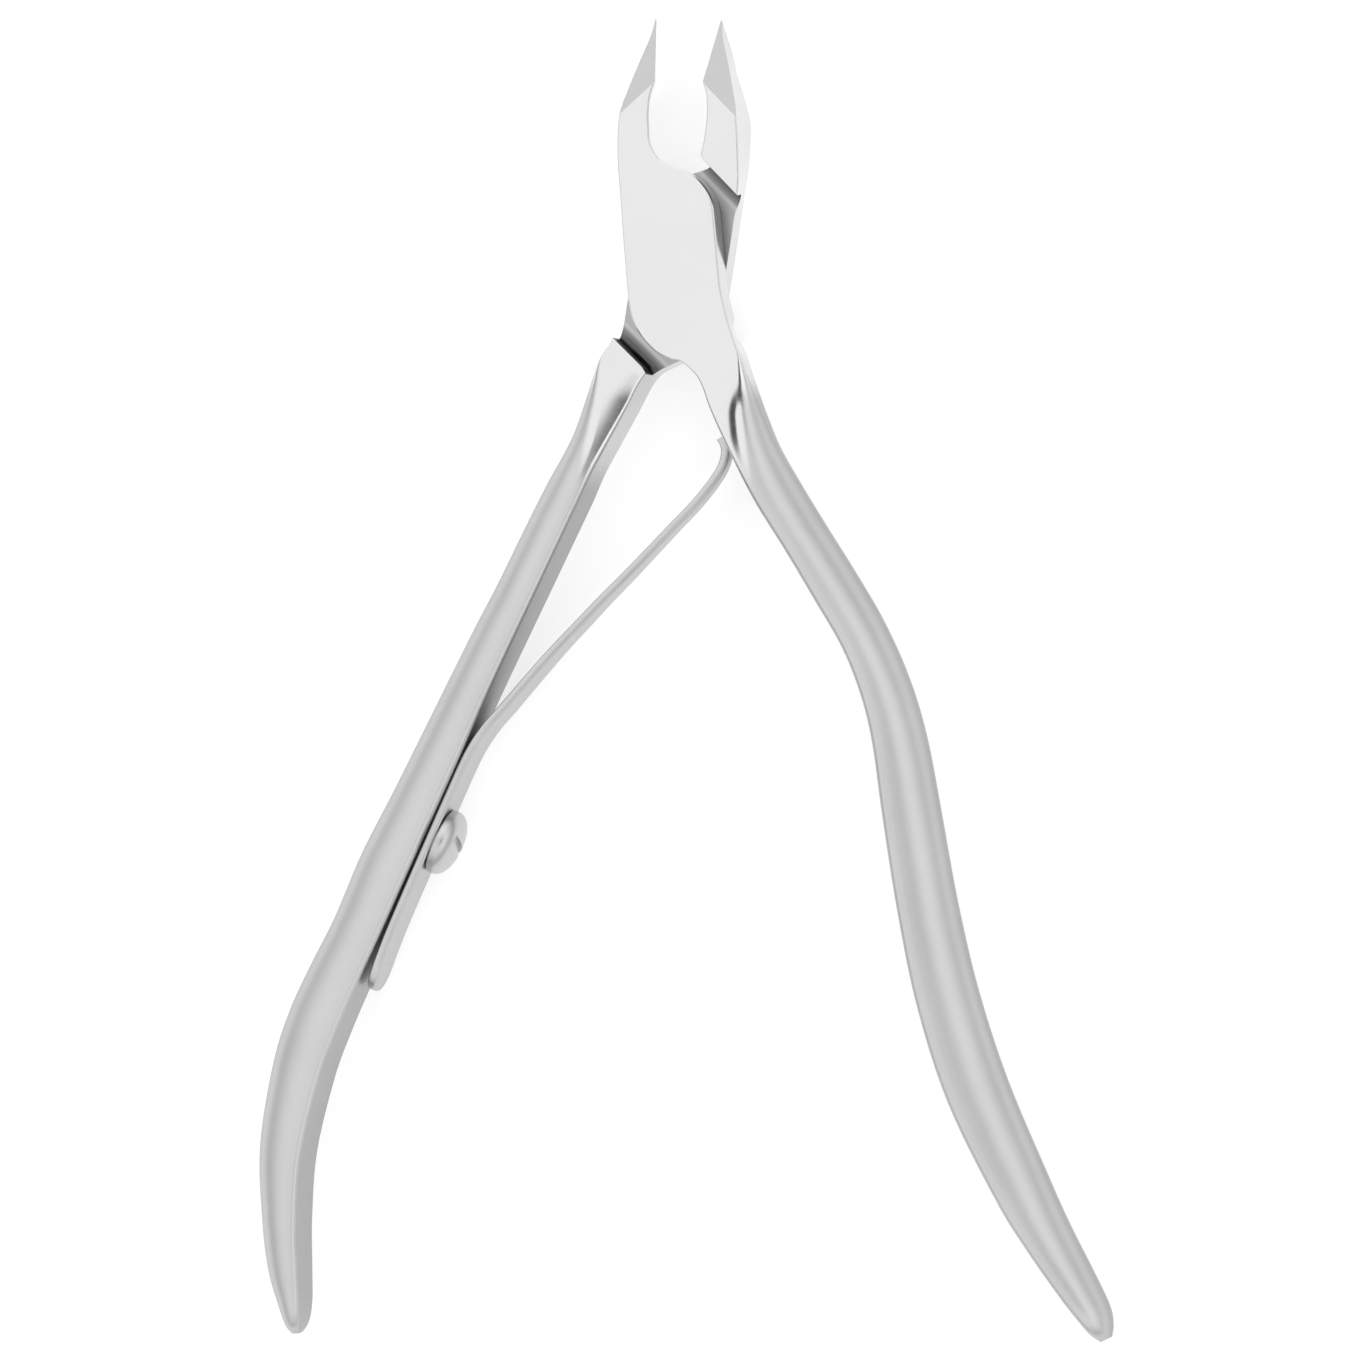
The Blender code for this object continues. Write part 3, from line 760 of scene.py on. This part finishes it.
def ground_finish():
    """Jaw facets, ground flat: fine lines square to the facet line."""
    made, tree, shader = metal("ground_facets")
    vector, _ = own_position(tree)
    lines = noise(tree, stretched(tree, vector, 36.3, (2.2, 26.0, 2.2)), 1.0, 3.0, 0.55)
    patch = noise(tree, vector, 0.5, 2.0, 0.5)
    tone = vary(tree, vary(tree, GROUND_TONE, lines, 0.05), patch, 0.04)
    tree.links.new(grey(tree, tone), shader.inputs["Base Color"])
    rough = maths(tree, "ADD", 0.27, maths(tree, "MULTIPLY", lines, 0.12))
    tree.links.new(rough, shader.inputs["Roughness"])
    shader.inputs["Anisotropic"].default_value = 0.35
    bump(tree, shader, lines, 0.004, 0.5, soften_edges(tree, 0.05))
    return made


def past_line(tree, x, y, spot, normal):
    """Distance past a line in the tool's plane, in millimetres."""
    a = maths(tree, "MULTIPLY", maths(tree, "SUBTRACT", x, spot[0]), normal[0])
    b = maths(tree, "MULTIPLY", maths(tree, "SUBTRACT", y, spot[1]), normal[1])
    return maths(tree, "ADD", a, b)


def lap_finish():
    """Milled lap: duller, with faint arcs about the rivet, painted shade on its walls and towards a
    shoulder's foot, and a painted highlight streak beside it.
    """
    made, tree, shader = metal("milled_lap")
    _, (x, y, _) = own_position(tree)
    lines = rings_about_axis(tree, x, y, 14.0, 2.0)
    tone = vary(tree, LAP_TONE, lines, 0.05)
    # Painted shade on the lap's walls.
    tone = maths(tree, "MULTIPLY", tone, mix_value(tree, upright(tree), 1.0, LAP_WALL_SHADE))
    # Painted shade that deepens towards the foot of each shoulder.
    upper = past_line(tree, x, y, JAW_SHOULDER, (0.591, -0.806))
    lower = past_line(tree, x, y, GRIP_SHOULDER, (-0.572, 0.820))
    away = maths(tree, "MINIMUM", upper, lower)
    tone = maths(tree, "MULTIPLY", tone, ramp(tree, away, 0.1, 1.7, 0.26, 1.0))
    # A painted highlight streak a little way out from the shoulder.
    fading = ramp(tree, away, 1.15, 1.5, 1.0, 0.0)
    painted_streak = maths(tree, "MULTIPLY", ramp(tree, away, 0.85, 1.15), fading)
    tone = maths(tree, "ADD", tone, maths(tree, "MULTIPLY", painted_streak, 0.16))
    tree.links.new(grey(tree, tone), shader.inputs["Base Color"])
    shader.inputs["Roughness"].default_value = 0.30
    bump(tree, shader, lines, 0.004, 0.4, soften_edges(tree, 0.05))
    return made


def spring_finish():
    """Rolled spring strip: faint lines along its length, and painted shade on its edges."""
    made, tree, shader = metal("spring_steel")
    vector, _ = own_position(tree)
    lines = noise(tree, stretched(tree, vector, 0.0, (0.4, 0.4, 9.0)), 1.0, 3.0, 0.6)
    grain = noise(tree, vector, 6.0, 3.0, 0.6)
    tone = vary(tree, SPRING_TONE, lines, 0.06)
    # Painted shade on the spring's edges.
    tone = maths(tree, "MULTIPLY", tone, mix_value(tree, upright(tree), 1.0, SPRING_EDGE_SHADE))
    tone = vary(tree, tone, grain, 0.05)
    tree.links.new(grey(tree, tone), shader.inputs["Base Color"])
    rough = maths(tree, "ADD", 0.26, maths(tree, "MULTIPLY", grain, 0.10))
    tree.links.new(rough, shader.inputs["Roughness"])
    bump(tree, shader, maths(tree, "ADD", lines, grain), 0.003, 0.4, None)
    return made


def fastener_finish():
    """Turned screw and rivet: faint turning marks."""
    made, tree, shader = metal("fastener_steel")
    vector, (x, y, _) = own_position(tree)
    grain = noise(tree, vector, 5.0, 3.0, 0.6)
    lines = rings_about_axis(tree, x, y, 11.0, 3.0)
    tone = vary(tree, FASTENER_TONE, grain, 0.06)
    tree.links.new(grey(tree, tone), shader.inputs["Base Color"])
    rough = maths(tree, "ADD", 0.30, maths(tree, "MULTIPLY", grain, 0.10))
    tree.links.new(rough, shader.inputs["Roughness"])
    bump(tree, shader, lines, 0.003, 0.4, None)
    return made


def screw_profile():
    """Pan head and shank, from the shank's end to the top of the head."""
    high = SCREW_HEAD_HIGH
    radius = SCREW_HEAD_RADIUS
    shank = -SPRING_THICK - SCREW_SHANK
    profile = [(0.6, shank), (SCREW_RADIUS - 0.25, shank)]
    profile += [(SCREW_RADIUS, shank + 0.25), (SCREW_RADIUS, 0.03)]
    profile += [(radius - 0.22, 0.03), (radius - 0.08, 0.08), (radius, 0.20)]
    for step in range(15):
        a = math.radians(86.0) * step / 14
        lift = DOME_START * high + (1 - DOME_START) * high * math.sin(a)
        profile.append((radius * math.cos(a) ** 0.85, lift))
    return profile


def make_screw(helpers, material, pose):
    screw = turned("spring_screw_look", screw_profile(), 96, bpy.context.scene.collection, material)
    wide = SLOT_WIDE / 2
    reach = SCREW_HEAD_RADIUS + 1.0
    outline = [(-wide, -reach), (wide, -reach), (wide, reach), (-wide, reach)]
    slot = prism("slot", outline, SCREW_HEAD_HIGH - SLOT_DEEP, SCREW_HEAD_HIGH + 1.0, helpers, material)
    slot.matrix_world = Matrix.Rotation(math.radians(SLOT_TURN), 4, "Z")
    cut(screw, slot)
    return settle(screw, pose @ metres(screw_matrix()), 30)


def metres(matrix):
    """The same placement with its shift turned from millimetres into metres."""
    made = matrix.copy()
    made.translation = matrix.translation * MM
    return made


def make_rivet(material):
    """Flush head on the back. Its front end is swaged into the front plate and polished away."""
    head = PIN_HEAD_RADIUS
    low = -HALF_THICK
    profile = [
        (head - 0.05, low),
        (head, low + 0.05),
        (head, PIN_HEAD_DEPTH / 3 + low),
        (PIN_RADIUS, PIN_HEAD_DEPTH + low),
        (PIN_RADIUS, HALF_THICK - 0.42),
        (PIN_RADIUS - 0.1, HALF_THICK - 0.32),
    ]
    rivet = turned("pivot_rivet_look", profile, 96, bpy.context.scene.collection, material)
    return settle(rivet, Matrix.Translation((0.0, 0.0, HALF_THICK * MM)), 30)


def bore_halves(front, back, helpers, finishes):
    """Blind bore in the front plate, and the countersunk bore in the back one."""
    lap = finishes["lap"]
    hole_radius = PIN_RADIUS + PIN_PLAY
    hole_shape = [(hole_radius, -5.0), (hole_radius, HALF_THICK - 0.3)]
    hole = turned("pin_hole", hole_shape, 96, helpers, lap)
    cut(front, hole)
    head = PIN_HEAD_RADIUS + PIN_PLAY
    rise = -HALF_THICK
    sink_shape = [
        (head + 0.08, rise - 1.0),
        (head + 0.08, rise),
        (head, rise + 0.08),
        (head, PIN_HEAD_DEPTH / 3 + rise),
        (hole_radius, PIN_HEAD_DEPTH + rise),
        (hole_radius, 5.0),
    ]
    sink = turned("pin_sink", sink_shape, 96, helpers, lap)
    sink.matrix_world = Matrix.Rotation(math.pi, 4, "Y")
    cut(back, sink)
    bore_low = -SPRING_THICK - SCREW_HOLE_DEPTH
    radius = SCREW_RADIUS + 0.04
    bore = turned("screw_bore", [(radius, bore_low), (radius, 2.0)], 64, helpers, lap)
    bore.matrix_world = screw_matrix()
    cut(back, bore)
    return bore


def lobe(tree, vector, aim, inner_deg, outer_deg):
    """1 near one direction, falling smoothly to 0 further from it."""
    dot = tree.nodes.new("ShaderNodeVectorMath")
    dot.operation = "DOT_PRODUCT"
    dot.inputs[1].default_value = Vector(aim).normalized()
    tree.links.new(vector, dot.inputs[0])
    low = math.cos(math.radians(outer_deg))
    high = math.cos(math.radians(inner_deg))
    return ramp(tree, dot.outputs["Value"], low, high)


def world_light():
    """A white light tent: brightest overhead, dimmer low down, dark where the lens looks in."""
    world = bpy.data.worlds.new("studio")
    bpy.context.scene.world = world
    world.use_nodes = True
    tree = world.node_tree
    back = tree.nodes["Background"]
    place = tree.nodes.new("ShaderNodeTexCoord")
    vector = place.outputs["Generated"]
    parts = tree.nodes.new("ShaderNodeSeparateXYZ")
    tree.links.new(vector, parts.inputs[0])
    level = ramp(tree, parts.outputs[2], 0.0, 0.85, TENT_LOW, TENT_HIGH)
    lamp = lobe(tree, vector, TOP_LAMP, 15.0, 58.0)
    level = maths(tree, "ADD", level, maths(tree, "MULTIPLY", lamp, TOP_LAMP_LEVEL))
    side_lamp = lobe(tree, vector, SIDE_LAMP, 12.0, 48.0)
    level = maths(tree, "ADD", level, maths(tree, "MULTIPLY", side_lamp, SIDE_LAMP_LEVEL))
    opening = lobe(tree, vector, TENT_OPENING, 7.0, 16.0)
    dimming = maths(tree, "SUBTRACT", 1.0, maths(tree, "MULTIPLY", opening, OPENING_DEPTH))
    level = maths(tree, "MULTIPLY", level, dimming)
    tree.links.new(grey(tree, level), back.inputs["Color"])
    back.inputs["Strength"].default_value = 1.0


def floor_sheet():
    mesh = bpy.data.meshes.new("floor")
    reach = 1.5
    corners = [(-reach, -reach, 0.0), (reach, -reach, 0.0), (reach, reach, 0.0), (-reach, reach, 0.0)]
    mesh.from_pydata(corners, [], [(0, 1, 2, 3)])
    floor = bpy.data.objects.new("floor", mesh)
    bpy.context.scene.collection.objects.link(floor)
    paper = bpy.data.materials.new("pale_paper")
    paper.use_nodes = True
    shader = paper.node_tree.nodes["Principled BSDF"]
    shader.inputs["Base Color"].default_value = (FLOOR_TONE, FLOOR_TONE, FLOOR_TONE, 1.0)
    shader.inputs["Roughness"].default_value = 0.9
    shader.inputs["Specular IOR Level"].default_value = 0.0
    shader.inputs["Emission Color"].default_value = (1.0, 1.0, 1.0, 1.0)
    shader.inputs["Emission Strength"].default_value = FLOOR_GLOW
    mesh.materials.append(paper)


def photo_camera():
    """Looks down on the tool, tilted a little to its right, with a long lens."""
    tilt = math.radians(CAMERA_TILT)
    forward = Vector((-math.sin(tilt), 0.0, -math.cos(tilt)))
    right = Vector((math.cos(tilt), 0.0, -math.sin(tilt)))
    turn = Matrix.Rotation(math.radians(CAMERA_ROLL), 3, "Z")
    spot = turn @ (Vector(LOOK_AT) * MM - forward * CAMERA_DISTANCE)
    axes = Matrix((turn @ right, turn @ Vector((0.0, 1.0, 0.0)), turn @ -forward)).transposed()
    data = bpy.data.cameras.new("camera")
    data.lens = LENS
    data.sensor_width = 36.0
    data.clip_start = 0.01
    data.clip_end = 10.0
    camera = bpy.data.objects.new("camera", data)
    bpy.context.scene.collection.objects.link(camera)
    camera.matrix_world = Matrix.Translation(spot) @ axes.to_4x4()
    bpy.context.scene.camera = camera


def build():
    helpers = named_collection("cutters", True)
    finishes = {"body": forged_finish(), "ground": ground_finish(), "lap": lap_finish()}
    strip = spring_finish()
    turned_steel = fastener_finish()
    front_pose = half_pose(True)
    back_pose = half_pose(False)
    front = make_half("front_half_look", JAW + FRONT_PLATE + FRONT_GRIP, 1, helpers, finishes)
    back = make_half("back_half_look", JAW + BACK_PLATE + BACK_GRIP, -1, helpers, finishes)
    bore = bore_halves(front, back, helpers, finishes)
    leaf = make_leaf(strip)
    cut(leaf, bore)
    settle(front, front_pose, 24)
    settle(back, back_pose, 24)
    settle(leaf, back_pose, 40)
    screw = make_screw(helpers, turned_steel, back_pose)
    rivet = make_rivet(turned_steel)
    for helper in list(helpers.objects):
        bpy.data.objects.remove(helper, do_unlink=True)
    bpy.data.collections.remove(helpers)
    return front, back, leaf, screw, rivet


def dress(front, back, leaf, screw, rivet):
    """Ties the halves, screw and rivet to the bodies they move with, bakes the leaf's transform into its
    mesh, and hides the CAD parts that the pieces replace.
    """
    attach(front, "front")
    for piece in (back, screw, rivet):
        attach(piece, "back")
    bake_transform(leaf)
    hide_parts("front_half")
    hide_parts("back_half")
    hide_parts("leaf_spring")
    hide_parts("spring_screw")
    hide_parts("pivot_rivet")


dress(*build())
world_light()
floor_sheet()
photo_camera()
bpy.context.scene.view_settings.view_transform = "Standard"
bpy.context.scene.view_settings.look = "None"
